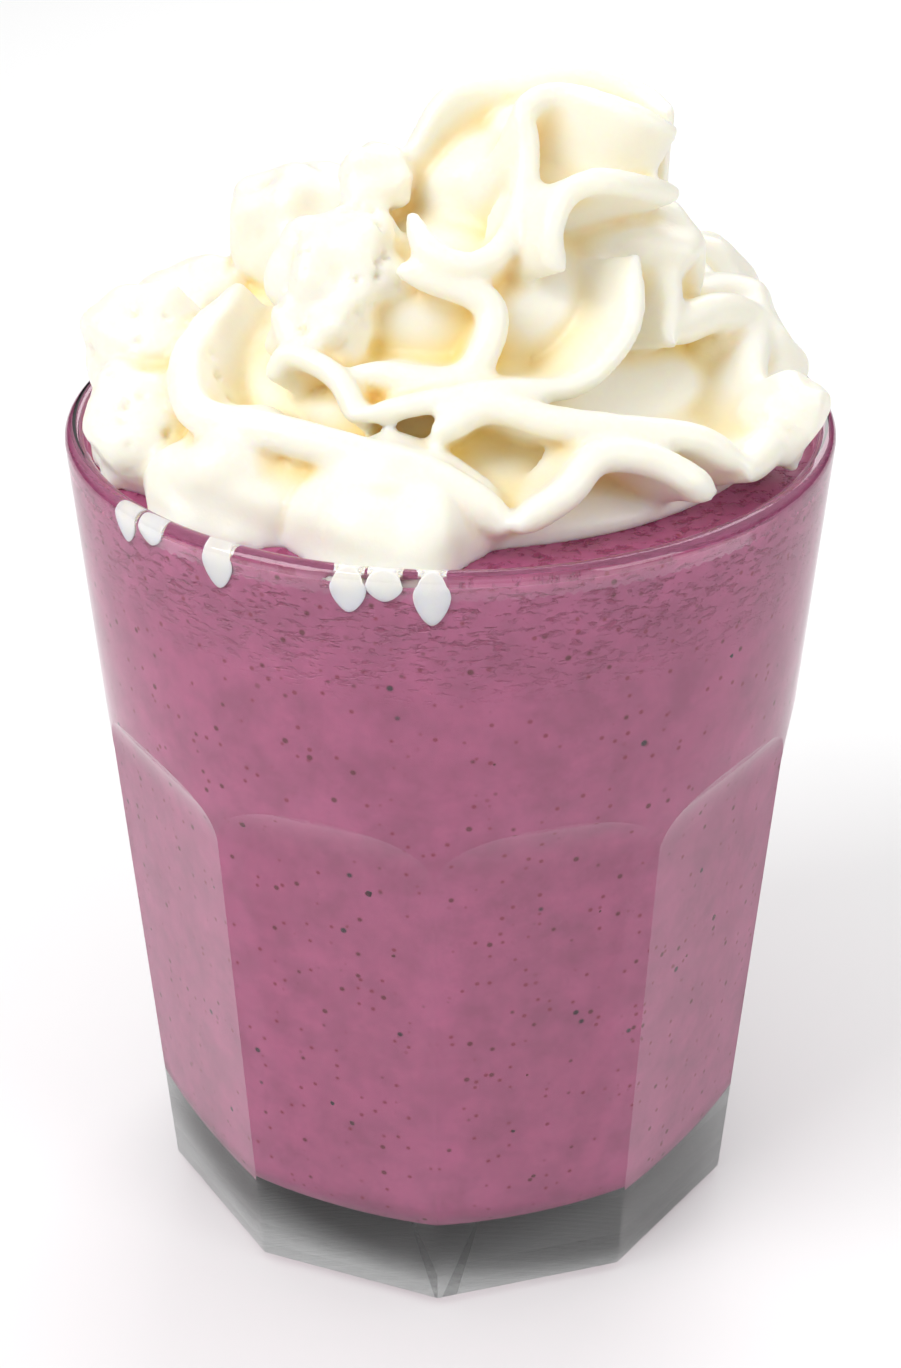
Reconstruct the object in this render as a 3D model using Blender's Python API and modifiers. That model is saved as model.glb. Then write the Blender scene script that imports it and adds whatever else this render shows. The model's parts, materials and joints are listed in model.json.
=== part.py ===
"""Berry smoothie in a ten-sided tumbler under piped whipped cream.

The script works in metres with +Z up. The tumbler stands on z = 0 with its axis on z.
Driving dimensions are in millimetres below and are scaled once, by MM.
"""

import math

import bmesh
import bpy
import numpy as np
from mathutils import Matrix

MM = 0.001
GAP = 0.3  # between touching solids

# Tumbler
HEIGHT = 104.3
RIM_RADIUS = 44.5
FOOT_RADIUS = 37.8
RIM_WALL = 2.4
LOW_WALL = 4.0
FLOOR_THICKNESS = 10.5
FLOOR_CORNER = 5.0
SIDES = 10
SIDE_TURN = -2.4  # degrees from -Y to the front ridge
PANEL_TOP = 63.9  # where two panels and the cone meet
COVE_HEIGHT = 8.5
COVE_DEPTH = 2.1
FOOT_CHAMFER = 1.5
TURN_STEPS = 80

# Drink
LEVEL_BELOW_RIM = 2.8

# Cream
CREAM_TOP_CLEARANCE = 0.6  # over the rim
RIM_SLOPE = 0.6  # how fast the cream may widen above it
FOLD_STEPS = 13
SMALLEST_SHELL = 0.5  # of the largest shell's corners; smaller ones are scraps or bubbles

# Mounds that the folds are piped on: centre and half-sizes
MOUNDS = (
    ((0, 2, 102), (38, 36, 11)),
    ((0, 5, 109), (33, 30, 12)),
    ((4, 4, 118), (24, 21, 13)),
    ((9, 4, 127), (17, 13, 11)),
    ((13, 4, 134), (12, 7, 7)),
)

# Rounded lumps: centre and radius
LUMPS = (
    ((37.5, -14, 108), 5.5),
    ((-33.5, -3, 112), 8.0),
    ((-32.0, -12, 106), 9.5),
    ((-12.0, -6, 122), 8.0),
    ((-8.4, 1, 131), 4.2),
    ((-22.0, -25, 105), 9.0),
    ((-5.2, -31, 106), 9.5),
    ((20.0, 1, 124), 10.0),
    ((31.0, 4, 109), 9.5),
    ((14.0, 31, 109), 9.5),
    ((-14.0, 30, 110), 9.5),
    ((-31.0, 14, 109), 9.0),
    ((29.0, 20, 110), 9.0),
    ((4.0, 25, 121), 8.5),
    ((-17.0, 16, 120), 9.0),
)

# Folds: the lip's line, how far the sheet reaches in, how far it drops, the lip's half thickness
FOLDS = (
    (((25, -2, 137.5), (20, -3, 140.5), (12.5, 0, 142), (8.7, -3, 141), (9, -5, 137.5),
      (8.4, -8, 133), (6, -12, 128.7), (2, -15, 127.5), (-2.5, -14, 129), (-4.4, -10, 131)), 5, 10, 1.7),
    (((-11, 0, 128), (-6.5, 3, 131.5), (-4.3, 4, 135), (-0.5, 6, 140), (7, 8, 141), (14, 8, 142),
      (21, 6, 140.5), (24.6, 2, 138.5)), 1, 13, 1.7),
    (((25.6, -2, 130.5), (22.4, -8, 133), (16.8, -12, 135), (13, -13, 133.5), (11.4, -15, 130),
      (12.1, -16, 126)), 9, 5, 1.8),
    (((-6, -15, 126), (4.2, -17, 122.9), (4, -20, 118.5), (0, -22, 115.7), (-11, -20, 116.2)), 9, 5, 2.0),
    (((20.7, -10, 126), (20.5, -16, 121), (17.5, -20, 117.5), (13, -23, 115.6), (5, -25, 116),
      (-3, -26, 115), (-10, -26, 113.5)), 9, 4, 1.6),
    (((17, 4, 131), (24, -4, 126), (25.5, -8, 121), (24.5, -14, 117)), 10, 4, 1.8),
    (((-25, 4, 118), (-28.5, -8, 117.5), (-30, -15, 116), (-28, -23, 113.8), (-19, -28, 113.6),
      (-10.7, -31, 112.5), (-3, -33, 111), (3, -35, 108.5), (6, -36, 105.5)), 9, 6, 2.3),
    (((-20, -18, 115), (-18, -18, 118), (-12.7, -22, 117), (-10, -26, 113.5)), 7, 6, 1.8),
    (((-2, -29, 113), (4, -27, 115.5), (11, -28, 114.4), (18, -28, 113.5), (27, -26, 111.6),
      (32, -25, 108)), 9, 6, 2.0),
    (((6.7, -37, 105.8), (12.4, -35, 108.8), (16, -32, 111.5), (21.4, -31, 111), (26, -31, 108.8),
      (28, -30, 106.4)), 7, 5, 2.1),
    (((25, -12, 118), (32, -4, 118), (36.5, 0, 115), (35.5, -8, 111.3), (37, -17, 108.3),
      (32, -26, 107.2)), 10, 5, 2.4),
    (((34, 6, 115), (27, 19, 118), (15, 27, 117), (3, 31, 116), (-10, 29, 118), (-22, 21, 117),
      (-29, 9, 115)), 9, 7, 2.3),
    (((25, 8, 126), (16, 17, 129), (5, 19, 128), (-6, 15, 129), (-12, 5, 127)), 8, 7, 2.0),
)


def new_material(name, colour, roughness, metallic=0.0, transmission=0.0):
    material = bpy.data.materials.new(name)
    material.use_nodes = True
    shader = material.node_tree.nodes["Principled BSDF"]
    shader.inputs["Base Color"].default_value = (*colour, 1.0)
    shader.inputs["Roughness"].default_value = roughness
    shader.inputs["Metallic"].default_value = metallic
    shader.inputs["Transmission Weight"].default_value = transmission
    material.diffuse_color = (*colour, 1.0)
    return material


def new_collection(name):
    collection = bpy.data.collections.new(name)
    bpy.context.scene.collection.children.link(collection)
    return collection


def add_object(name, mesh, collection, material=None):
    thing = bpy.data.objects.new(name, mesh)
    collection.objects.link(thing)
    if material:
        mesh.materials.append(material)
    return thing


def add_turned(name, profile, collection, material):
    """Turns a profile of (radius, height) pairs in millimetres round z, top to bottom outside."""
    mesh = bpy.data.meshes.new(name)
    points = [(radius * MM, 0.0, height * MM) for radius, height in profile]
    edges = [(i, i + 1) for i in range(len(points) - 1)]
    mesh.from_pydata(points, edges, [])
    thing = add_object(name, mesh, collection, material)
    screw = thing.modifiers.new("Turn", "SCREW")
    screw.axis = "Z"
    screw.steps = TURN_STEPS
    screw.render_steps = TURN_STEPS
    screw.use_merge_vertices = True
    screw.merge_threshold = 0.00001
    thing.rotation_euler.z = math.radians(SIDE_TURN)
    return thing


def apply_modifiers(thing):
    evaluated = thing.evaluated_get(bpy.context.evaluated_depsgraph_get())
    mesh = bpy.data.meshes.new_from_object(evaluated)
    thing.modifiers.clear()
    old = thing.data
    thing.data = mesh
    bpy.data.meshes.remove(old)


def cone_radius(height):
    return FOOT_RADIUS + (RIM_RADIUS - FOOT_RADIUS) * height / HEIGHT


def inner_radius(height):
    low = cone_radius(FLOOR_THICKNESS) - LOW_WALL
    high = RIM_RADIUS - RIM_WALL
    share = (height - FLOOR_THICKNESS) / (HEIGHT - FLOOR_THICKNESS)
    return low + (high - low) * share


def corner_arc(inset, steps=5):
    """The rounded corner between the inner wall and the floor, moved in by inset, wall end first."""
    centre_height = FLOOR_THICKNESS + FLOOR_CORNER
    centre_radius = inner_radius(centre_height) - FLOOR_CORNER
    arc = FLOOR_CORNER - inset
    for step in range(steps + 1):
        angle = math.radians(90.0 * step / steps)
        yield centre_radius + arc * math.cos(angle), centre_height - arc * math.sin(angle)


def rim_arc(steps=6):
    """The round of the rim, from its inner side over the top to its outer side."""
    half = RIM_WALL / 2
    for step in range(steps + 1):
        angle = math.radians(180.0 * (1 - step / steps))
        yield RIM_RADIUS - half + half * math.cos(angle), HEIGHT - half + half * math.sin(angle)


def panel_profile():
    """The (radius, height) outline of what is ground off one side, with its chamfer and cove."""
    middle = math.cos(math.pi / SIDES)
    outside = RIM_RADIUS + 15.0
    below = 5.0
    points = [((cone_radius(0) - FOOT_CHAMFER) * middle - below, -below)]
    points.append((cone_radius(FOOT_CHAMFER) * middle, FOOT_CHAMFER))
    for step in range(9):
        share = step / 8
        height = PANEL_TOP + COVE_HEIGHT * share * 1.4
        out = COVE_DEPTH * (share * 1.4) ** 2.6
        points.append((cone_radius(height) * middle + out, height))
    points.append((outside, points[-1][1]))
    points.append((outside, -below))
    return points


def add_panel_cutter(turn, collection):
    half_width = 16.0
    mesh = bpy.data.meshes.new("panel_cutter")
    bm = bmesh.new()
    corners = [
        bm.verts.new((radius * MM, -half_width * MM, height * MM)) for radius, height in panel_profile()
    ]
    face = bm.faces.new(corners)
    swept = bmesh.ops.extrude_face_region(bm, geom=[face])
    moved = [item for item in swept["geom"] if isinstance(item, bmesh.types.BMVert)]
    bmesh.ops.translate(bm, verts=moved, vec=(0, 2 * half_width * MM, 0))
    bmesh.ops.recalc_face_normals(bm, faces=bm.faces)
    bm.to_mesh(mesh)
    bm.free()
    cutter = add_object("panel_cutter", mesh, collection)
    cutter.matrix_world = Matrix.Rotation(turn, 4, "Z")
    cutter.hide_render = True
    cutter.display_type = "WIRE"
    return cutter


def make_glass(collection, cutters, material):
    inner = [(0.0, FLOOR_THICKNESS)] + list(corner_arc(0.0))[::-1]
    outer = list(rim_arc()) + [(FOOT_RADIUS, 0.0), (0.0, 0.0)]
    glass = add_turned("glass", inner + outer, collection, material)
    for side in range(SIDES):
        turn = math.radians(SIDE_TURN - 90.0 + 360.0 * (side + 0.5) / SIDES)
        add_panel_cutter(turn, cutters)
    cut = glass.modifiers.new("Panels", "BOOLEAN")
    cut.operation = "DIFFERENCE"
    cut.operand_type = "COLLECTION"
    cut.collection = cutters
    return glass


def make_smoothie(collection, material):
    level = HEIGHT - LEVEL_BELOW_RIM
    profile = [(0.0, level), (inner_radius(level) - GAP, level)]
    profile += list(corner_arc(GAP))
    profile.append((0.0, FLOOR_THICKNESS + GAP))
    return add_turned("smoothie", profile, collection, material)


def smooth_line(points, count):
    """Points spaced along a Catmull-Rom curve through the given ones."""
    points = np.array(points, dtype=float)
    padded = np.vstack([2 * points[0] - points[1], points, 2 * points[-1] - points[-2]])
    line = []
    for position in np.linspace(0, len(points) - 1, count):
        index = min(int(position), len(points) - 2)
        t = position - index
        a, b, c, d = padded[index : index + 4]
        line.append(
            0.5 * (2 * b + (c - a) * t + (2 * a - 5 * b + 4 * c - d) * t**2 + (3 * b - a - 3 * c + d) * t**3)
        )
    return np.array(line)


def fold_section(bead, length):
    """A closed outline of (depth from the lip, half thickness): a round lip on a thinner sheet."""
    outline = []
    for degrees in (60, 100, 140, 180, 220, 260, 300):
        angle = math.radians(degrees)
        outline.append((bead + bead * math.cos(angle), bead * math.sin(angle)))
    outline.append((length, -bead * 0.9))
    outline.append((length, bead * 0.9))
    return outline


def make_fold(name, fold, collection):
    lip, reach, drop, bead = fold
    line = smooth_line(lip, FOLD_STEPS)
    tangents = np.gradient(line, axis=0)
    bm = bmesh.new()
    rings = []
    for index, (point, tangent) in enumerate(zip(line, tangents)):
        outward = np.array([point[0], point[1], 0.0])
        outward /= max(np.linalg.norm(outward), 1.0)
        inward = -outward * reach - np.array([0.0, 0.0, drop])
        length = np.linalg.norm(inward)
        inward /= length
        across = np.cross(inward, tangent)
        across /= max(np.linalg.norm(across), 1e-6)
        end = min(index, FOLD_STEPS - 1 - index) / 2
        size = bead * (0.55 + 0.45 * min(end, 1.0))
        ring = []
        for depth, half in fold_section(size, length):
            ring.append(bm.verts.new((point + inward * depth + across * half) * MM))
        rings.append(ring)
    for near, far in zip(rings, rings[1:]):
        for i in range(len(near)):
            j = (i + 1) % len(near)
            bm.faces.new((near[i], near[j], far[j], far[i]))
    bm.faces.new(rings[0][::-1])
    bm.faces.new(rings[-1])
    return finish_dollop(name, bm, collection)


def make_ball(name, centre, sizes, collection, detail):
    bm = bmesh.new()
    bmesh.ops.create_icosphere(bm, subdivisions=detail, radius=1.0)
    for vert in bm.verts:
        x, y, z = vert.co
        uneven = 1 + 0.06 * math.sin(3.1 * x + 2 * centre[0]) * math.cos(2.7 * y + centre[1]) * (1 + z)
        vert.co = (
            (centre[0] + sizes[0] * x * uneven) * MM,
            (centre[1] + sizes[1] * y * uneven) * MM,
            (centre[2] + sizes[2] * z * uneven) * MM,
        )
    return finish_dollop(name, bm, collection)


def finish_dollop(name, bm, collection):
    """Keeps a cream piece over the drink, inside the glass's mouth and within its rim."""
    lowest = (HEIGHT - LEVEL_BELOW_RIM + GAP) * MM
    over_rim = (HEIGHT + CREAM_TOP_CLEARANCE) * MM
    mouth = (inner_radius(HEIGHT) - 2 * GAP) * MM
    for vert in bm.verts:
        vert.co.z = max(vert.co.z, lowest)
        limit = mouth + RIM_SLOPE * max(vert.co.z - over_rim, 0.0)
        limit = min(limit, (RIM_RADIUS - 2 * GAP) * MM)
        radius = math.hypot(vert.co.x, vert.co.y)
        if radius > limit:
            vert.co.x *= limit / radius
            vert.co.y *= limit / radius
    bmesh.ops.triangulate(bm, faces=bm.faces)
    bmesh.ops.recalc_face_normals(bm, faces=bm.faces)
    mesh = bpy.data.meshes.new(name)
    bm.to_mesh(mesh)
    bm.free()
    return add_object(name, mesh, collection)


def keep_largest_shell(mesh):
    """Drops loose scraps and fills sealed hollows, which are shells of their own."""
    bm = bmesh.new()
    bm.from_mesh(mesh)
    waiting = set(bm.verts)
    shells = []
    while waiting:
        shell = {waiting.pop()}
        edge = list(shell)
        while edge:
            for link in edge.pop().link_edges:
                for vert in link.verts:
                    if vert not in shell:
                        shell.add(vert)
                        edge.append(vert)
        waiting -= shell
        shells.append(shell)
    most = max(len(shell) for shell in shells)
    extra = [vert for shell in shells if len(shell) < most * SMALLEST_SHELL for vert in shell]
    bmesh.ops.delete(bm, geom=extra, context="VERTS")
    bm.to_mesh(mesh)
    bm.free()


def make_cream(collection, material):
    pieces = new_collection("cream pieces")
    for index, (centre, sizes) in enumerate(MOUNDS):
        make_ball(f"mound_{index}", centre, sizes, pieces, 3)
    for index, (centre, radius) in enumerate(LUMPS):
        make_ball(f"lump_{index}", centre, (radius, radius, radius * 0.9), pieces, 2)
    for index, fold in enumerate(FOLDS):
        make_fold(f"fold_{index}", fold, pieces)
    first = pieces.objects["mound_0"]
    pieces.objects.unlink(first)
    collection.objects.link(first)
    first.name = "whipped_cream"
    join = first.modifiers.new("Join", "BOOLEAN")
    join.operation = "UNION"
    join.operand_type = "COLLECTION"
    join.collection = pieces
    join.solver = "MANIFOLD"
    apply_modifiers(first)
    for piece in list(pieces.objects):
        bpy.data.objects.remove(piece, do_unlink=True)
    bpy.data.collections.remove(pieces)
    keep_largest_shell(first.data)
    first.data.materials.clear()
    first.data.materials.append(material)
    first.data.shade_smooth()
    return first


def main():
    for thing in list(bpy.data.objects):
        bpy.data.objects.remove(thing, do_unlink=True)
    parts = new_collection("berry smoothie")
    cutters = new_collection("cutters")
    make_glass(parts, cutters, new_material("clear glass", (0.95, 0.96, 0.97), 0.02, transmission=1.0))
    make_smoothie(parts, new_material("berry smoothie", (0.68, 0.30, 0.38), 0.45))
    make_cream(parts, new_material("whipped cream", (0.93, 0.88, 0.74), 0.5))


main()
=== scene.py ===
"""Looks for the berry smoothie: a ten-sided tumbler, a thick pink drink and a whipped cream swirl."""

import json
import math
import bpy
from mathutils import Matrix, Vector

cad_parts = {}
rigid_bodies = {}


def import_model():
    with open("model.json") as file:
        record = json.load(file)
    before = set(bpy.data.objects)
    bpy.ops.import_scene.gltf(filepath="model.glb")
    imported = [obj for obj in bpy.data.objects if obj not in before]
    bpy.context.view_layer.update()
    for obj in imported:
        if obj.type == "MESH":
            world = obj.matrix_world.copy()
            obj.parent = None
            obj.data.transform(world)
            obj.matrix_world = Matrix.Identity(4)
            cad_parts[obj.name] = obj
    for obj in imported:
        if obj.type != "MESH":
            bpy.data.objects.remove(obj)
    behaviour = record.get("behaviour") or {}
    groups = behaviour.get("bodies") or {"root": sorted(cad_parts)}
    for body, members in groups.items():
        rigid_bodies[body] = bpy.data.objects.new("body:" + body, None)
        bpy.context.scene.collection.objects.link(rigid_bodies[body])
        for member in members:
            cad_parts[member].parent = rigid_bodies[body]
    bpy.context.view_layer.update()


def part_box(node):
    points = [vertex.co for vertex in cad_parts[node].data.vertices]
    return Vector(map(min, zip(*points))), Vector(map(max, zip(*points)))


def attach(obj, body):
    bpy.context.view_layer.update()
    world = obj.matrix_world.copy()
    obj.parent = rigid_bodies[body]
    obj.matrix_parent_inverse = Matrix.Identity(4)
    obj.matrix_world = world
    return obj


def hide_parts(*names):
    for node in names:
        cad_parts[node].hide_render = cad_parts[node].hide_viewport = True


bl_info = {
    "name": "Berry Smoothie",
    "version": (1, 0, 0),
    "blender": (4, 5, 0),
    "location": "View3D > Sidebar > Smoothie",
    "description": "Builds a tumbler of berry smoothie under whipped cream",
    "category": "Add Mesh",
}

import bmesh
import bpy
import numpy as np
from mathutils import Matrix, Vector, noise

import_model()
GLASS_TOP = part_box("glass")[1][2]
DRINK_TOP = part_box("smoothie")[1][2]

MM = 0.001
GLASS_HEIGHT = GLASS_TOP / MM
RIM_RADIUS = 44.5
FOOT_RADIUS = 37.8
RIM_WALL = 2.4
LOW_WALL = 4.0
FLOOR_THICKNESS = 10.5
FLOOR_CORNER = 5.0
SIDES = 10
SIDE_TURN = -2.4  # degrees from -Y to the front ridge
PANEL_TOP = 63.9
COVE_HEIGHT = 11.9
COVE_DEPTH = 5.0
COVE_BEND = 2.6
FOOT_CHAMFER = 1.5
OVER_RIM = 0.6
RIM_SLOPE = 0.6
SEED = 11
PITS_PER_METRE = 420
BUMPS_PER_METRE = 260
PIT_WIDTH = 0.34  # of the space between two pits

# Mounds that the folds are piped on: centre and half-sizes in millimetres
MOUNDS = (
    ((0, 2, 102), (37, 35, 9)),
    ((0, 6, 108), (31, 29, 10)),
    ((4, 5, 116), (22, 19, 12)),
    ((9, 5, 126), (14, 10, 10)),
    ((12, 5, 133), (9, 5, 6)),
)

# Lumps: centre, radius and how pitted each is
LUMPS = (
    ((37.5, -14, 108), 5.5, 0.2),
    ((-34, -3, 112.5), 8.0, 0.8),
    ((-32.0, -12, 106), 9.5, 1.0),
    ((-12.0, -6, 122), 8.0, 1.0),
    ((-14.0, -11, 117), 6.0, 1.0),
    ((-8.4, 1, 131), 4.2, 1.0),
    ((-22.0, -23, 103), 10.0, 0.1),
    ((-6.0, -29, 102), 11.5, 0.1),
    ((20.0, 1, 122), 9.0, 0.1),
    ((31.0, 4, 109), 9.5, 0.1),
    ((14.0, 31, 109), 9.5, 0.2),
    ((-14.0, 30, 110), 9.5, 0.2),
    ((-31.0, 14, 109), 9.0, 0.4),
    ((29.0, 20, 110), 9.0, 0.2),
    ((4.0, 25, 121), 8.5, 0.2),
    ((-17.0, 16, 120), 9.0, 0.3),
)

# Folds: the lip's line, how far the sheet reaches in, how far it drops, the lip's half thickness
FOLDS = (
    (((25, -2, 137.5), (20, -3, 140.5), (12.5, 0, 142), (8.7, -3, 141), (9, -5, 137.5),
      (8.4, -8, 133), (6, -12, 128.7), (2, -15, 127.5), (-2.5, -14, 129), (-4.4, -10, 131)), 6, 12, 1.5),
    (((-11, 0, 128), (-6.5, 3, 131.5), (-4.3, 4, 135), (-0.5, 6, 140), (7, 8, 141), (14, 8, 142),
      (21, 6, 140.5), (24.6, 2, 138.5)), 1, 14, 1.5),
    (((25.6, -2, 130.5), (22.4, -8, 133), (16.8, -12, 135), (13, -13, 133.5), (11.4, -15, 130),
      (12.1, -16, 126)), 11, 5, 1.5),
    (((-6, -15, 126), (4.2, -17, 122.9), (4, -20, 118.5), (0, -22, 115.7), (-11, -20, 116.2)), 12, 3, 1.8),
    (((20.7, -10, 126), (20.5, -16, 121), (17.5, -20, 117.5), (13, -23, 115.6), (5, -25, 116),
      (-3, -26, 115), (-10, -26, 113.5)), 12, 3, 1.3),
    (((17, 4, 131), (24, -4, 126), (25.5, -8, 121), (24.5, -14, 117)), 12, 3, 1.5),
    (((-25, 4, 118), (-28.5, -8, 117.5), (-30, -15, 116), (-28, -23, 113.8), (-19, -28, 113.6),
      (-10.7, -31, 112.5), (-3, -33, 111), (3, -35, 108.5), (6, -36, 105.5)), 10, 9, 2.1),
    (((-20, -18, 115), (-18, -18, 118), (-12.7, -22, 117), (-10, -26, 113.5)), 8, 6, 1.4),
    (((-2, -29, 113), (4, -27, 115.5), (11, -28, 114.4), (18, -28, 113.5), (27, -26, 111.6),
      (32, -25, 108)), 11, 7, 1.8),
    (((6.7, -37, 105.8), (12.4, -35, 108.8), (16, -32, 111.5), (21.4, -31, 111), (26, -31, 108.8),
      (28, -30, 106.4)), 9, 3, 1.8),
    (((25, -12, 118), (32, -4, 118), (36.5, 0, 115), (35.5, -8, 111.3), (37, -17, 108.3),
      (32, -26, 107.2)), 12, 5, 2.3),
    (((34, 6, 115), (27, 19, 118), (15, 27, 117), (3, 31, 116), (-10, 29, 118), (-22, 21, 117),
      (-29, 9, 115)), 11, 7, 2.1),
    (((25, 8, 126), (16, 17, 129), (5, 19, 128), (-6, 15, 129), (-12, 5, 127)), 10, 7, 1.8),
)

# Drips of cream on the inside of the rim: degrees from -Y, top and length
DRIPS = (
    (-53, 103.4, 4.0),
    (-47, 103.0, 2.4),
    (-34, 103.2, 4.6),
    (-14, 103.0, 4.2),
    (-2.5, 103.0, 5.2),
    (-9, 103.0, 2.6),
)
DRIP_HALF_WIDTH = 1.8
DRIP_SPREAD = 0.35  # how much wider a drip is at its top
DRIP_IN_WALL = 0.35
DRIP_THICKNESS = 0.8
DRIP_BULGE = 0.1


class DrinkSizes(bpy.types.PropertyGroup):
    level_in_wall: bpy.props.FloatProperty(
        name="Reach Into Wall",
        description="How far the drink reaches into the glass, so that no air shows between them",
        default=0.00012,
        unit="LENGTH",
    )
    speck_count: bpy.props.IntProperty(
        name="Berry Bits", description="How many dark bits of berry lie against the glass", default=46
    )
    drink_colour: bpy.props.FloatVectorProperty(
        name="Drink", description="Colour of the drink", default=(0.475, 0.108, 0.245), subtype="COLOR"
    )


class CreamSizes(bpy.types.PropertyGroup):
    grain: bpy.props.FloatProperty(
        name="Grain",
        description="Size of the cream's finest form",
        default=0.00058,
        unit="LENGTH",
    )
    pit_depth: bpy.props.FloatProperty(
        name="Pit Depth", description="Depth of the burst bubbles", default=0.0007, unit="LENGTH"
    )
    cream_colour: bpy.props.FloatVectorProperty(
        name="Cream", description="Colour of the cream's lips", default=(0.93, 0.90, 0.80), subtype="COLOR"
    )
    # painted shade: the warm, darker colour painted deep in the cream's folds
    fold_shade_colour: bpy.props.FloatVectorProperty(
        name="Fold", description="Colour deep in the folds", default=(0.93, 0.70, 0.20), subtype="COLOR"
    )


def deselect_all():
    for thing in bpy.context.selected_objects:
        thing.select_set(False)


def make_active(thing):
    deselect_all()
    thing.select_set(True)
    bpy.context.view_layer.objects.active = thing


def apply_all(thing):
    make_active(thing)
    for modifier in list(thing.modifiers):
        bpy.ops.object.modifier_apply(modifier=modifier.name)


def place_in_mesh(thing):
    make_active(thing)
    bpy.ops.object.transform_apply(location=True, rotation=True, scale=True)


def dress(thing, material, node_slot, *nodes):
    """Gives a piece its finish and its body, and hides the CAD nodes it takes the place of."""
    thing.data.materials.clear()
    thing.data.materials.append(material)
    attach(thing, "root")
    if nodes:
        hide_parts(*nodes)


def cone_radius(height):
    return FOOT_RADIUS + (RIM_RADIUS - FOOT_RADIUS) * height / GLASS_HEIGHT


def inner_radius(height):
    low = cone_radius(FLOOR_THICKNESS) - LOW_WALL
    high = RIM_RADIUS - RIM_WALL
    share = (height - FLOOR_THICKNESS) / (GLASS_HEIGHT - FLOOR_THICKNESS)
    return low + (high - low) * share


def corner_arc(outset, steps):
    """The rounded corner between the inner wall and the floor, wall end first."""
    centre_height = FLOOR_THICKNESS + FLOOR_CORNER
    centre_radius = inner_radius(centre_height) - FLOOR_CORNER
    arc = FLOOR_CORNER + outset
    for step in range(steps + 1):
        angle = math.radians(90.0 * step / steps)
        yield centre_radius + arc * math.cos(angle), centre_height - arc * math.sin(angle)


def rim_arc(steps):
    half = RIM_WALL / 2
    for step in range(steps + 1):
        angle = math.radians(180.0 * (1 - step / steps))
        yield RIM_RADIUS - half + half * math.cos(angle), GLASS_HEIGHT - half + half * math.sin(angle)


def turn_profile(name, profile, steps):
    mesh = bpy.data.meshes.new(name)
    mesh.from_pydata(
        [(radius * MM, 0.0, height * MM) for radius, height in profile],
        [(i, i + 1) for i in range(len(profile) - 1)],
        [],
    )
    thing = bpy.data.objects.new(name, mesh)
    bpy.context.collection.objects.link(thing)
    screw = thing.modifiers.new("Turn", "SCREW")
    screw.axis = "Z"
    screw.steps = steps
    screw.render_steps = steps
    screw.use_merge_vertices = True
    screw.merge_threshold = 0.00001
    apply_all(thing)
    return thing


def panel_profile():
    """The outline of what is ground off one side, with its chamfer and its cove."""
    middle = math.cos(math.pi / SIDES)
    outside = RIM_RADIUS + 15.0
    below = 5.0
    cove_steps = 20
    points = [
        ((cone_radius(0) - FOOT_CHAMFER) * middle - below, -below),
        (cone_radius(FOOT_CHAMFER) * middle, FOOT_CHAMFER),
    ]
    for step in range(cove_steps + 1):
        share = step / cove_steps
        height = PANEL_TOP + COVE_HEIGHT * share
        points.append((cone_radius(height) * middle + COVE_DEPTH * share**COVE_BEND, height))
    points.append((outside, points[-1][1]))
    points.append((outside, -below))
    return points


def make_panel_cutter(turn):
    half_width = 16.0
    mesh = bpy.data.meshes.new("panel cutter")
    bm = bmesh.new()
    face = bm.faces.new([bm.verts.new((r * MM, -half_width * MM, h * MM)) for r, h in panel_profile()])
    swept = bmesh.ops.extrude_face_region(bm, geom=[face])
    moved = [item for item in swept["geom"] if isinstance(item, bmesh.types.BMVert)]
    bmesh.ops.translate(bm, verts=moved, vec=(0, 2 * half_width * MM, 0))
    bmesh.ops.transform(bm, matrix=Matrix.Rotation(turn, 4, "Z"), verts=bm.verts)
    bmesh.ops.recalc_face_normals(bm, faces=bm.faces)
    bm.to_mesh(mesh)
    bm.free()
    return bpy.data.objects.new("panel cutter", mesh)


def smooth_line(points, count):
    """Points spaced along a Catmull-Rom curve through the given ones."""
    points = np.array(points, dtype=float)
    padded = np.vstack([2 * points[0] - points[1], points, 2 * points[-1] - points[-2]])
    line = []
    for position in np.linspace(0, len(points) - 1, count):
        index = min(int(position), len(points) - 2)
        t = position - index
        a, b, c, d = padded[index : index + 4]
        line.append(
            0.5 * (2 * b + (c - a) * t + (2 * a - 5 * b + 4 * c - d) * t**2 + (3 * b - a - 3 * c + d) * t**3)
        )
    return np.array(line)


def fold_section(bead, length, steps=12):
    """A round lip on a thinner sheet, as (depth from the lip, half thickness)."""
    outline = []
    for step in range(steps + 1):
        angle = math.radians(60 + 240 * step / steps)
        outline.append((bead + bead * math.cos(angle), bead * math.sin(angle)))
    outline.append((length * 0.5, -bead * 0.75))
    outline.append((length, -bead * 1.1))
    outline.append((length, bead * 1.1))
    outline.append((length * 0.5, bead * 0.75))
    return outline


def add_fold(bm, fold):
    steps = 64
    lip, reach, drop, bead = fold
    line = smooth_line(lip, steps)
    tangents = np.gradient(line, axis=0)
    rings = []
    for index, (point, tangent) in enumerate(zip(line, tangents)):
        outward = np.array([point[0], point[1], 0.0])
        outward /= max(np.linalg.norm(outward), 1.0)
        inward = -outward * reach - np.array([0.0, 0.0, drop])
        length = np.linalg.norm(inward)
        inward /= length
        across = np.cross(inward, tangent)
        across /= max(np.linalg.norm(across), 1e-6)
        end = min(index, steps - 1 - index) / 6
        size = bead * (0.45 + 0.55 * math.sin(min(end, 1.0) * math.pi / 2))
        ring = [bm.verts.new((point + inward * d + across * h) * MM) for d, h in fold_section(size, length)]
        rings.append(ring)
    for near, far in zip(rings, rings[1:]):
        for i in range(len(near)):
            j = (i + 1) % len(near)
            bm.faces.new((near[i], near[j], far[j], far[i]))
    bm.faces.new(rings[0][::-1])
    bm.faces.new(rings[-1])


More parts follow.
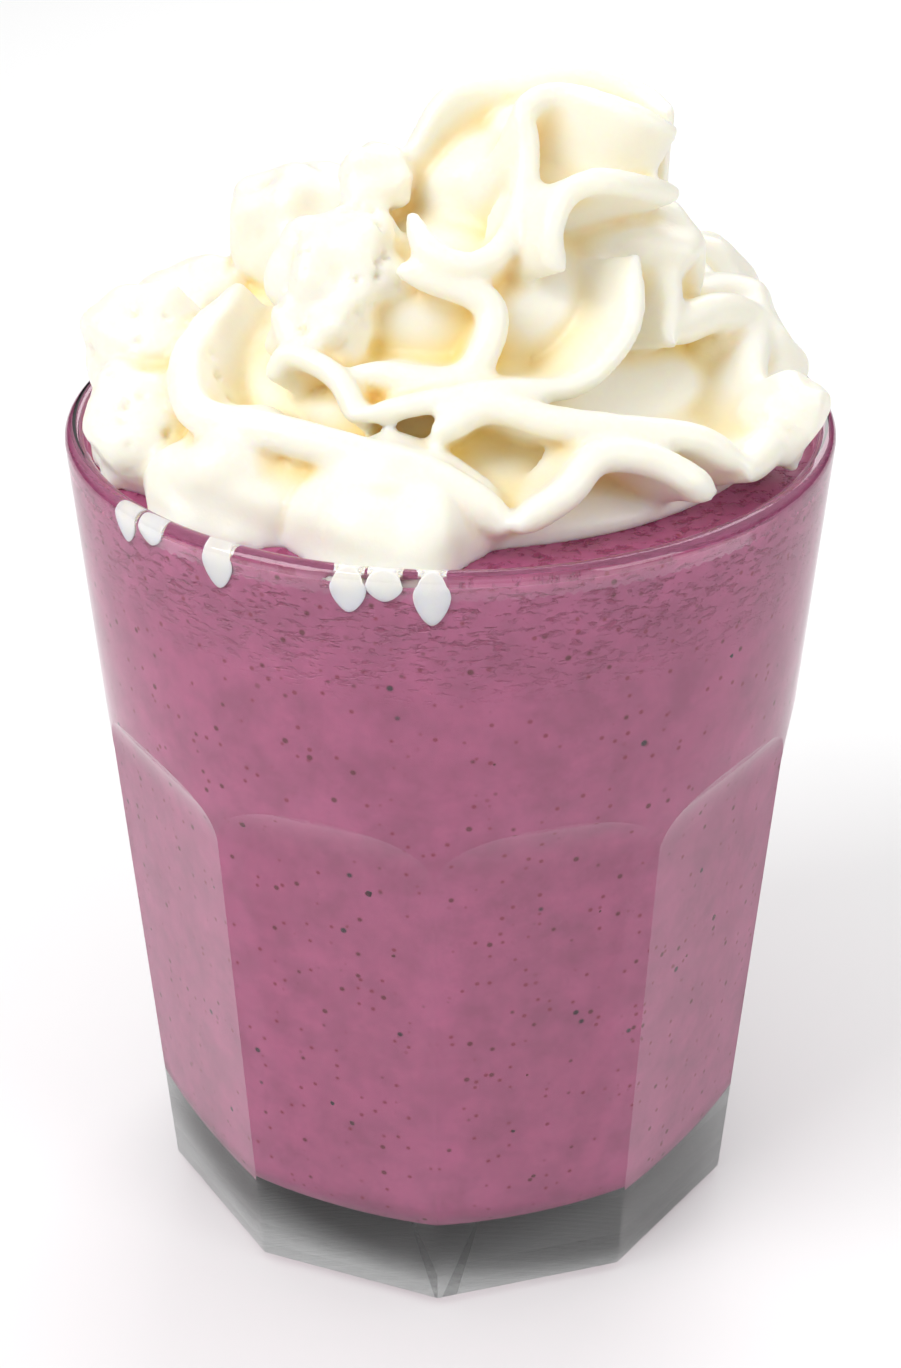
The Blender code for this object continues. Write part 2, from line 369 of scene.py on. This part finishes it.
def add_ball(bm, centre, sizes, detail, wobble):
    made = bmesh.ops.create_icosphere(bm, subdivisions=detail, radius=1.0)
    for vert in made["verts"]:
        direction = Vector(vert.co)
        away = noise.noise(direction * 1.7 + Vector(centre)) * wobble
        vert.co = Vector(
            (centre[i] + sizes[i] * direction[i] * (1 + away)) * MM for i in range(3)
        )


def new_piece(name, bm):
    """Makes a piece of a working mesh, with its faces turned outwards."""
    bmesh.ops.recalc_face_normals(bm, faces=bm.faces)
    mesh = bpy.data.meshes.new(name)
    bm.to_mesh(mesh)
    bm.free()
    thing = bpy.data.objects.new(name, mesh)
    bpy.context.collection.objects.link(thing)
    return thing


def keep_in_glass(bm):
    """Keeps the cream over the drink, inside the glass's mouth and within its rim."""
    lowest = DRINK_TOP - 0.0004
    over_rim = (GLASS_HEIGHT + OVER_RIM) * MM
    mouth = (inner_radius(GLASS_HEIGHT) - 0.5) * MM
    for vert in bm.verts:
        vert.co.z = max(vert.co.z, lowest)
        limit = mouth + RIM_SLOPE * max(vert.co.z - over_rim, 0.0)
        limit = min(limit, (RIM_RADIUS - 0.6) * MM)
        radius = math.hypot(vert.co.x, vert.co.y)
        if radius > limit:
            vert.co.x *= limit / radius
            vert.co.y *= limit / radius


def relax(points, neighbours, rounds):
    """Moves each point towards the mean of its neighbours, several times."""
    start = np.concatenate(neighbours)
    end = np.concatenate(neighbours[::-1])
    size = len(points)
    count = np.maximum(np.bincount(start, minlength=size), 1)[:, None]
    for _ in range(rounds):
        columns = [np.bincount(start, weights=column[end], minlength=size) for column in points.T]
        points = 0.4 * points + 0.6 * np.stack(columns, axis=1) / count
    return points


def pit_cream(mesh, depth):
    """Sinks burst bubbles into the rough lumps."""
    points = np.empty(len(mesh.vertices) * 3)
    mesh.vertices.foreach_get("co", points)
    points = points.reshape(-1, 3)
    share = np.zeros(len(points))
    for centre, radius, pitted in LUMPS:
        away = np.linalg.norm(points - np.array(centre) * MM, axis=1) / (radius * MM)
        share = np.maximum(share, np.clip((1.25 - away) * 5, 0.0, 1.0) * pitted)
    normals = np.empty(len(mesh.vertices) * 3)
    mesh.vertices.foreach_get("normal", normals)
    normals = normals.reshape(-1, 3)
    for index in np.nonzero(share > 0.15)[0]:
        place = Vector(points[index])
        cell = noise.voronoi(place * PITS_PER_METRE)[0][0]
        bump = noise.noise(place * BUMPS_PER_METRE)
        pit = max(0.0, PIT_WIDTH - cell) / PIT_WIDTH * (1.0 if bump > -0.05 else 0.0)
        points[index] -= normals[index] * depth * share[index] * (pit * 1.6 - bump * 0.5)
    mesh.vertices.foreach_set("co", points.ravel())
    mesh.update()


def mark_depth(mesh):
    """Stores how deep in a fold each point lies, for the painted shade deep in the cream's folds."""
    points = np.empty(len(mesh.vertices) * 3)
    mesh.vertices.foreach_get("co", points)
    points = points.reshape(-1, 3)
    normals = np.empty(len(mesh.vertices) * 3)
    mesh.vertices.foreach_get("normal", normals)
    normals = normals.reshape(-1, 3)
    edges = np.empty(len(mesh.edges) * 2, dtype=int)
    mesh.edges.foreach_get("vertices", edges)
    edges = edges.reshape(-1, 2).T
    even = relax(points, edges, 60)
    depth = np.einsum("ij,ij->i", even - points, normals) / 0.0022
    depth = relax(depth[:, None], edges, 6)[:, 0]
    attribute = mesh.attributes.new("fold_shade_depth", "FLOAT", "POINT")
    attribute.data.foreach_set("value", np.clip(depth, 0.0, 1.0))


def new_material(name):
    material = bpy.data.materials.new(name)
    material.use_nodes = True
    tree = material.node_tree
    return material, tree, tree.nodes["Principled BSDF"]


def add_node(tree, kind, **values):
    node = tree.nodes.new(kind)
    for key, value in values.items():
        if key in node.inputs:
            node.inputs[key].default_value = value
        else:
            setattr(node, key, value)
    return node


def mix_colour(tree, factor, first, second):
    mix = tree.nodes.new("ShaderNodeMix")
    mix.data_type = "RGBA"
    tree.links.new(factor, mix.inputs["Factor"])
    for socket, value in (("A", first), ("B", second)):
        target = mix.inputs[6] if socket == "A" else mix.inputs[7]
        if isinstance(value, bpy.types.NodeSocket):
            tree.links.new(value, target)
        else:
            target.default_value = (*value, 1.0)
    return mix.outputs[2]


def ramp(tree, source, low, high):
    """Maps a value from low..high to 0..1."""
    node = add_node(tree, "ShaderNodeMapRange")
    node.inputs["From Min"].default_value = low
    node.inputs["From Max"].default_value = high
    tree.links.new(source, node.inputs["Value"])
    return node.outputs["Result"]


def clear_glass():
    """Clear glass that lets the lamps light the drink behind it."""
    material, tree, shader = new_material("clear glass")
    shader.inputs["Base Color"].default_value = (0.97, 0.975, 0.98, 1)
    shader.inputs["Roughness"].default_value = 0.0
    shader.inputs["IOR"].default_value = 1.5
    shader.inputs["Transmission Weight"].default_value = 1.0
    see = tree.nodes.new("ShaderNodeBsdfTransparent")
    see.inputs["Color"].default_value = (0.9, 0.9, 0.9, 1)
    path = tree.nodes.new("ShaderNodeLightPath")
    mix = tree.nodes.new("ShaderNodeMixShader")
    tree.links.new(path.outputs["Is Shadow Ray"], mix.inputs[0])
    tree.links.new(shader.outputs[0], mix.inputs[1])
    tree.links.new(see.outputs[0], mix.inputs[2])
    tree.links.new(mix.outputs[0], tree.nodes["Material Output"].inputs["Surface"])
    return material


def speckled_drink(colour):
    """Pink drink with fine red specks, cloudy patches and a foamy band under the rim."""
    material, tree, shader = new_material("speckled smoothie")
    place = tree.nodes.new("ShaderNodeTexCoord").outputs["Object"]
    dark = tuple(channel * 0.72 for channel in colour)
    cloud = add_node(tree, "ShaderNodeTexNoise", Scale=190.0, Detail=5.0, Roughness=0.65)
    tree.links.new(place, cloud.inputs["Vector"])
    base = mix_colour(tree, ramp(tree, cloud.outputs["Fac"], 0.35, 0.7), dark, colour)
    for scale, reach, keep, speck in (
        (700.0, 0.24, 0.66, (0.26, 0.02, 0.07)),
        (420.0, 0.18, 0.60, (0.14, 0.01, 0.03)),
        (190.0, 0.09, 0.62, (0.03, 0.006, 0.015)),
    ):
        cells = add_node(tree, "ShaderNodeTexVoronoi", Scale=scale)
        tree.links.new(place, cells.inputs["Vector"])
        pick = tree.nodes.new("ShaderNodeSeparateColor")
        tree.links.new(cells.outputs["Color"], pick.inputs["Color"])
        chosen = ramp(tree, pick.outputs["Red"], keep, keep + 0.05)
        near = ramp(tree, cells.outputs["Distance"], reach, reach * 0.55)
        both = add_node(tree, "ShaderNodeMath", operation="MULTIPLY")
        tree.links.new(chosen, both.inputs[0])
        tree.links.new(near, both.inputs[1])
        base = mix_colour(tree, both.outputs[0], base, speck)
    height = tree.nodes.new("ShaderNodeSeparateXYZ")
    tree.links.new(place, height.inputs["Vector"])
    foamy = ramp(tree, height.outputs["Z"], (GLASS_HEIGHT - 17) * MM, (GLASS_HEIGHT - 6) * MM)
    holes = add_node(tree, "ShaderNodeTexNoise", Scale=900.0, Detail=3.0, Roughness=0.7)
    stretch = tree.nodes.new("ShaderNodeMapping")
    stretch.inputs["Scale"].default_value = (0.6, 0.6, 1.6)
    tree.links.new(place, stretch.inputs["Vector"])
    tree.links.new(stretch.outputs[0], holes.inputs["Vector"])
    pitted = ramp(tree, holes.outputs["Fac"], 0.47, 0.36)
    foam = add_node(tree, "ShaderNodeMath", operation="MULTIPLY")
    tree.links.new(foamy, foam.inputs[0])
    tree.links.new(pitted, foam.inputs[1])
    base = mix_colour(tree, foam.outputs[0], base, (0.30, 0.035, 0.12))
    tree.links.new(base, shader.inputs["Base Color"])
    bump = add_node(tree, "ShaderNodeBump", Strength=0.6, Distance=0.0006, invert=True)
    tree.links.new(foam.outputs[0], bump.inputs["Height"])
    tree.links.new(bump.outputs[0], shader.inputs["Normal"])
    shader.inputs["Roughness"].default_value = 0.42
    shader.inputs["Subsurface Weight"].default_value = 0.25
    shader.inputs["Subsurface Scale"].default_value = 0.002
    shader.inputs["Subsurface Radius"].default_value = (1.0, 0.4, 0.5)
    return material


def soft_cream(colour, fold):
    """Whipped cream, with painted warm shade deep in its folds and a faint sheen."""
    material, tree, shader = new_material("whipped cream")
    depth = tree.nodes.new("ShaderNodeAttribute")
    depth.attribute_name = "fold_shade_depth"
    place = tree.nodes.new("ShaderNodeTexCoord").outputs["Object"]
    cloud = add_node(tree, "ShaderNodeTexNoise", Scale=120.0, Detail=4.0)
    tree.links.new(place, cloud.inputs["Vector"])
    pale = tuple(channel * 0.965 for channel in colour)
    base = mix_colour(tree, ramp(tree, cloud.outputs["Fac"], 0.35, 0.65), pale, colour)
    # painted shade: the deeper a point lies in a fold, the more the cream turns to the fold shade colour
    base = mix_colour(tree, ramp(tree, depth.outputs["Fac"], 0.02, 0.55), base, fold)
    tree.links.new(base, shader.inputs["Base Color"])
    fine = add_node(tree, "ShaderNodeTexNoise", Scale=1400.0, Detail=2.0)
    tree.links.new(place, fine.inputs["Vector"])
    bump = add_node(tree, "ShaderNodeBump", Strength=0.12, Distance=0.0003)
    tree.links.new(fine.outputs["Fac"], bump.inputs["Height"])
    tree.links.new(bump.outputs[0], shader.inputs["Normal"])
    shader.inputs["Roughness"].default_value = 0.38
    shader.inputs["Subsurface Weight"].default_value = 0.6
    shader.inputs["Subsurface Scale"].default_value = 0.0035
    shader.inputs["Subsurface Radius"].default_value = (1.0, 0.72, 0.32)
    return material


def berry_skin():
    """Dark, slightly glossy bits of berry skin, redder in places."""
    material, tree, shader = new_material("berry skin")
    place = tree.nodes.new("ShaderNodeTexCoord").outputs["Object"]
    patch = add_node(tree, "ShaderNodeTexNoise", Scale=400.0, Detail=3.0)
    tree.links.new(place, patch.inputs["Vector"])
    redder = ramp(tree, patch.outputs["Fac"], 0.4, 0.62)
    base = mix_colour(tree, redder, (0.02, 0.008, 0.015), (0.16, 0.01, 0.03))
    tree.links.new(base, shader.inputs["Base Color"])
    shader.inputs["Roughness"].default_value = 0.35
    return material


class ScenePiece:
    bl_options = {"REGISTER", "UNDO"}


class SMOOTHIE_OT_glass(ScenePiece, bpy.types.Operator):
    """Turns the tumbler and grinds its ten panels"""

    bl_idname = "smoothie.glass"
    bl_label = "Tumbler"

    def execute(self, context):
        inner = [(0.0, FLOOR_THICKNESS)] + list(corner_arc(0.0, 12))[::-1]
        outer = list(rim_arc(14)) + [(FOOT_RADIUS, 0.0), (0.0, 0.0)]
        glass = turn_profile("tumbler", inner + outer, 240)
        glass.rotation_euler.z = math.radians(SIDE_TURN)
        place_in_mesh(glass)
        cutters = bpy.data.collections.new("panel cutters")
        for side in range(SIDES):
            cutters.objects.link(make_panel_cutter(math.radians(SIDE_TURN - 90 + 360 * (side + 0.5) / SIDES)))
        cut = glass.modifiers.new("Panels", "BOOLEAN")
        cut.operation = "DIFFERENCE"
        cut.operand_type = "COLLECTION"
        cut.collection = cutters
        apply_all(glass)
        for cutter in list(cutters.objects):
            bpy.data.objects.remove(cutter, do_unlink=True)
        bpy.data.collections.remove(cutters)
        make_active(glass)
        bpy.ops.object.shade_smooth_by_angle(angle=math.radians(14))
        dress(glass, clear_glass(), "clear_glass", "glass")
        return {"FINISHED"}


class SMOOTHIE_OT_drink(ScenePiece, bpy.types.Operator):
    """Fills the tumbler with the drink"""

    bl_idname = "smoothie.drink"
    bl_label = "Drink"

    def execute(self, context):
        sizes = context.scene.drink_sizes
        reach = sizes.level_in_wall / MM
        level = DRINK_TOP / MM
        top = [(radius, level) for radius in np.linspace(0, inner_radius(level) - 1.2, 12)]
        top.append((inner_radius(level) - 0.4, level + 0.1))
        top.append((inner_radius(level) + reach, level + 0.6))
        wall = [(inner_radius(height) + reach, height) for height in np.linspace(level, 17.0, 40)[1:]]
        floor = list(corner_arc(reach, 12)) + [(0.0, FLOOR_THICKNESS - reach)]
        drink = turn_profile("smoothie_body", top + wall + floor, 180)
        make_active(drink)
        bpy.ops.object.shade_smooth_by_angle(angle=math.radians(40))
        dress(drink, speckled_drink(tuple(sizes.drink_colour)), "smoothie", "smoothie")
        return {"FINISHED"}


class SMOOTHIE_OT_cream(ScenePiece, bpy.types.Operator):
    """Pipes the whipped cream as folded sheets on rough mounds"""

    bl_idname = "smoothie.cream"
    bl_label = "Whipped Cream"

    def execute(self, context):
        sizes = context.scene.cream_sizes
        bm = bmesh.new()
        for centre, half in MOUNDS:
            add_ball(bm, centre, half, 5, 0.10)
        for centre, radius, _ in LUMPS:
            add_ball(bm, centre, (radius, radius, radius * 0.9), 4, 0.28)
        for fold in FOLDS:
            add_fold(bm, fold)
        keep_in_glass(bm)
        cream = new_piece("cream_swirl", bm)
        remesh = cream.modifiers.new("Fuse", "REMESH")
        remesh.mode = "VOXEL"
        remesh.voxel_size = sizes.grain
        soften = cream.modifiers.new("Soften", "SMOOTH")
        soften.factor = 0.5
        soften.iterations = 5
        apply_all(cream)
        pit_cream(cream.data, sizes.pit_depth)
        mark_depth(cream.data)
        cream.data.shade_smooth()
        finish = soft_cream(tuple(sizes.cream_colour), tuple(sizes.fold_shade_colour))
        dress(cream, finish, "cream", "whipped_cream")
        return {"FINISHED"}


class SMOOTHIE_OT_drips(ScenePiece, bpy.types.Operator):
    """Runs drips of cream down the inside of the rim"""

    bl_idname = "smoothie.drips"
    bl_label = "Cream Drips"

    def execute(self, context):
        bm = bmesh.new()
        for degrees, top, length in DRIPS:
            made = bmesh.ops.create_icosphere(bm, subdivisions=4, radius=1.0)
            turn = math.radians(degrees)
            for vert in made["verts"]:
                along, through, up = vert.co
                height = top - length * (0.5 - 0.5 * up)
                taper = 1.0 + DRIP_SPREAD * up
                radius = inner_radius(height) + DRIP_IN_WALL
                radius += min(through, 0.0) * DRIP_THICKNESS + max(through, 0.0) * DRIP_BULGE
                angle = turn + along * DRIP_HALF_WIDTH * taper / radius
                vert.co = Vector((math.sin(angle) * radius, -math.cos(angle) * radius, height)) * MM
        drips = new_piece("cream_drips", bm)
        drips.data.shade_smooth()
        dress(drips, bpy.data.materials["whipped cream"], "cream")
        drips.data.attributes.new("fold_shade_depth", "FLOAT", "POINT")
        return {"FINISHED"}


class SMOOTHIE_OT_bits(ScenePiece, bpy.types.Operator):
    """Scatters dark bits of berry against the glass"""

    bl_idname = "smoothie.bits"
    bl_label = "Berry Bits"

    def execute(self, context):
        chance = np.random.default_rng(SEED)
        bm = bmesh.new()
        for _ in range(context.scene.drink_sizes.speck_count):
            height = float(chance.uniform(16, 98))
            turn = float(chance.uniform(0, math.tau))
            size = float(chance.uniform(0.16, 0.5)) * (1.5 if chance.random() > 0.9 else 1.0)
            made = bmesh.ops.create_icosphere(bm, subdivisions=2, radius=1.0)
            shift = Vector(chance.uniform(-9, 9, 3))
            for vert in made["verts"]:
                co = vert.co * (1 + 0.5 * noise.noise(vert.co * 1.5 + shift))
                radius = inner_radius(height + co.z * size) + 0.05 + co.y * 0.18
                angle = turn + co.x * size / radius
                vert.co = Vector(
                    (math.sin(angle) * radius, -math.cos(angle) * radius, height + co.z * size)
                ) * MM
        bits = new_piece("berry_bits", bm)
        bits.data.shade_smooth()
        dress(bits, berry_skin(), "smoothie")
        return {"FINISHED"}


class SMOOTHIE_OT_stage(ScenePiece, bpy.types.Operator):
    """Sets the floor, the lamps and the camera"""

    bl_idname = "smoothie.stage"
    bl_label = "Stage"

    def execute(self, context):
        scene = context.scene
        deselect_all()
        bpy.ops.mesh.primitive_plane_add(size=6.0, location=(0, 0, 0))
        floor = context.object
        floor.name = "floor"
        material, _, shader = new_material("pale floor")
        shader.inputs["Base Color"].default_value = (0.86, 0.86, 0.86, 1)
        shader.inputs["Roughness"].default_value = 0.6
        floor.data.materials.append(material)
        world = bpy.data.worlds.new("soft room")
        scene.world = world
        world.use_nodes = True
        tree = world.node_tree
        place = tree.nodes.new("ShaderNodeTexCoord").outputs["Generated"]
        part = tree.nodes.new("ShaderNodeSeparateXYZ")
        tree.links.new(place, part.inputs[0])
        high = ramp(tree, part.outputs["Z"], 0.16, 0.46)
        sky = mix_colour(tree, high, (0.015, 0.015, 0.018), (1.0, 1.0, 1.0))
        background = tree.nodes["Background"]
        seen = tree.nodes.new("ShaderNodeLightPath").outputs["Is Camera Ray"]
        sky = mix_colour(tree, seen, sky, (0.9, 0.9, 0.9))
        tree.links.new(sky, background.inputs["Color"])
        background.inputs["Strength"].default_value = 0.78
        for name, spot, size, power in (
            ("key", (-0.55, -0.35, 0.75), 0.5, 5.0),
            ("fill", (0.7, -0.5, 0.45), 0.4, 1.9),
            ("back", (0.2, 0.8, 0.7), 0.6, 3.2),
        ):
            lamp = bpy.data.lights.new(name, "AREA")
            lamp.size = size
            lamp.energy = power
            thing = bpy.data.objects.new(name, lamp)
            thing.location = spot
            aim = Vector((0, 0, 0.08)) - Vector(spot)
            thing.rotation_euler = aim.to_track_quat("-Z", "Y").to_euler()
            scene.collection.objects.link(thing)
        lens = bpy.data.cameras.new("camera")
        lens.lens = 61.0
        lens.sensor_width = 36.0
        camera = bpy.data.objects.new("camera", lens)
        camera.location = (0.0, -0.2513, 0.2071)
        camera.rotation_euler = (math.radians(90 - 29.09), 0, 0)
        scene.collection.objects.link(camera)
        scene.camera = camera
        scene.view_settings.view_transform = "Standard"
        scene.cycles.max_bounces = 16
        scene.cycles.transmission_bounces = 12
        scene.cycles.transparent_max_bounces = 12
        return {"FINISHED"}


class SMOOTHIE_PT_panel(bpy.types.Panel):
    """Lists the pieces of the drink"""

    bl_label = "Berry Smoothie"
    bl_space_type = "VIEW_3D"
    bl_region_type = "UI"
    bl_category = "Smoothie"

    def draw(self, context):
        for group in (context.scene.drink_sizes, context.scene.cream_sizes):
            for key in group.bl_rna.properties.keys():
                if key not in {"rna_type", "name"}:
                    self.layout.prop(group, key)
        for operator in OPERATORS:
            self.layout.operator(operator.bl_idname)


OPERATORS = (
    SMOOTHIE_OT_stage,
    SMOOTHIE_OT_glass,
    SMOOTHIE_OT_drink,
    SMOOTHIE_OT_cream,
    SMOOTHIE_OT_drips,
    SMOOTHIE_OT_bits,
)
CLASSES = (DrinkSizes, CreamSizes, *OPERATORS, SMOOTHIE_PT_panel)


def register():
    for item in CLASSES:
        bpy.utils.register_class(item)
    bpy.types.Scene.drink_sizes = bpy.props.PointerProperty(type=DrinkSizes)
    bpy.types.Scene.cream_sizes = bpy.props.PointerProperty(type=CreamSizes)


def unregister():
    del bpy.types.Scene.cream_sizes
    del bpy.types.Scene.drink_sizes
    for item in reversed(CLASSES):
        bpy.utils.unregister_class(item)


def main():
    register()
    bpy.ops.smoothie.stage()
    bpy.ops.smoothie.glass()
    bpy.ops.smoothie.drink()
    bpy.ops.smoothie.cream()
    bpy.ops.smoothie.drips()
    bpy.ops.smoothie.bits()


if __name__ == "__main__":
    main()
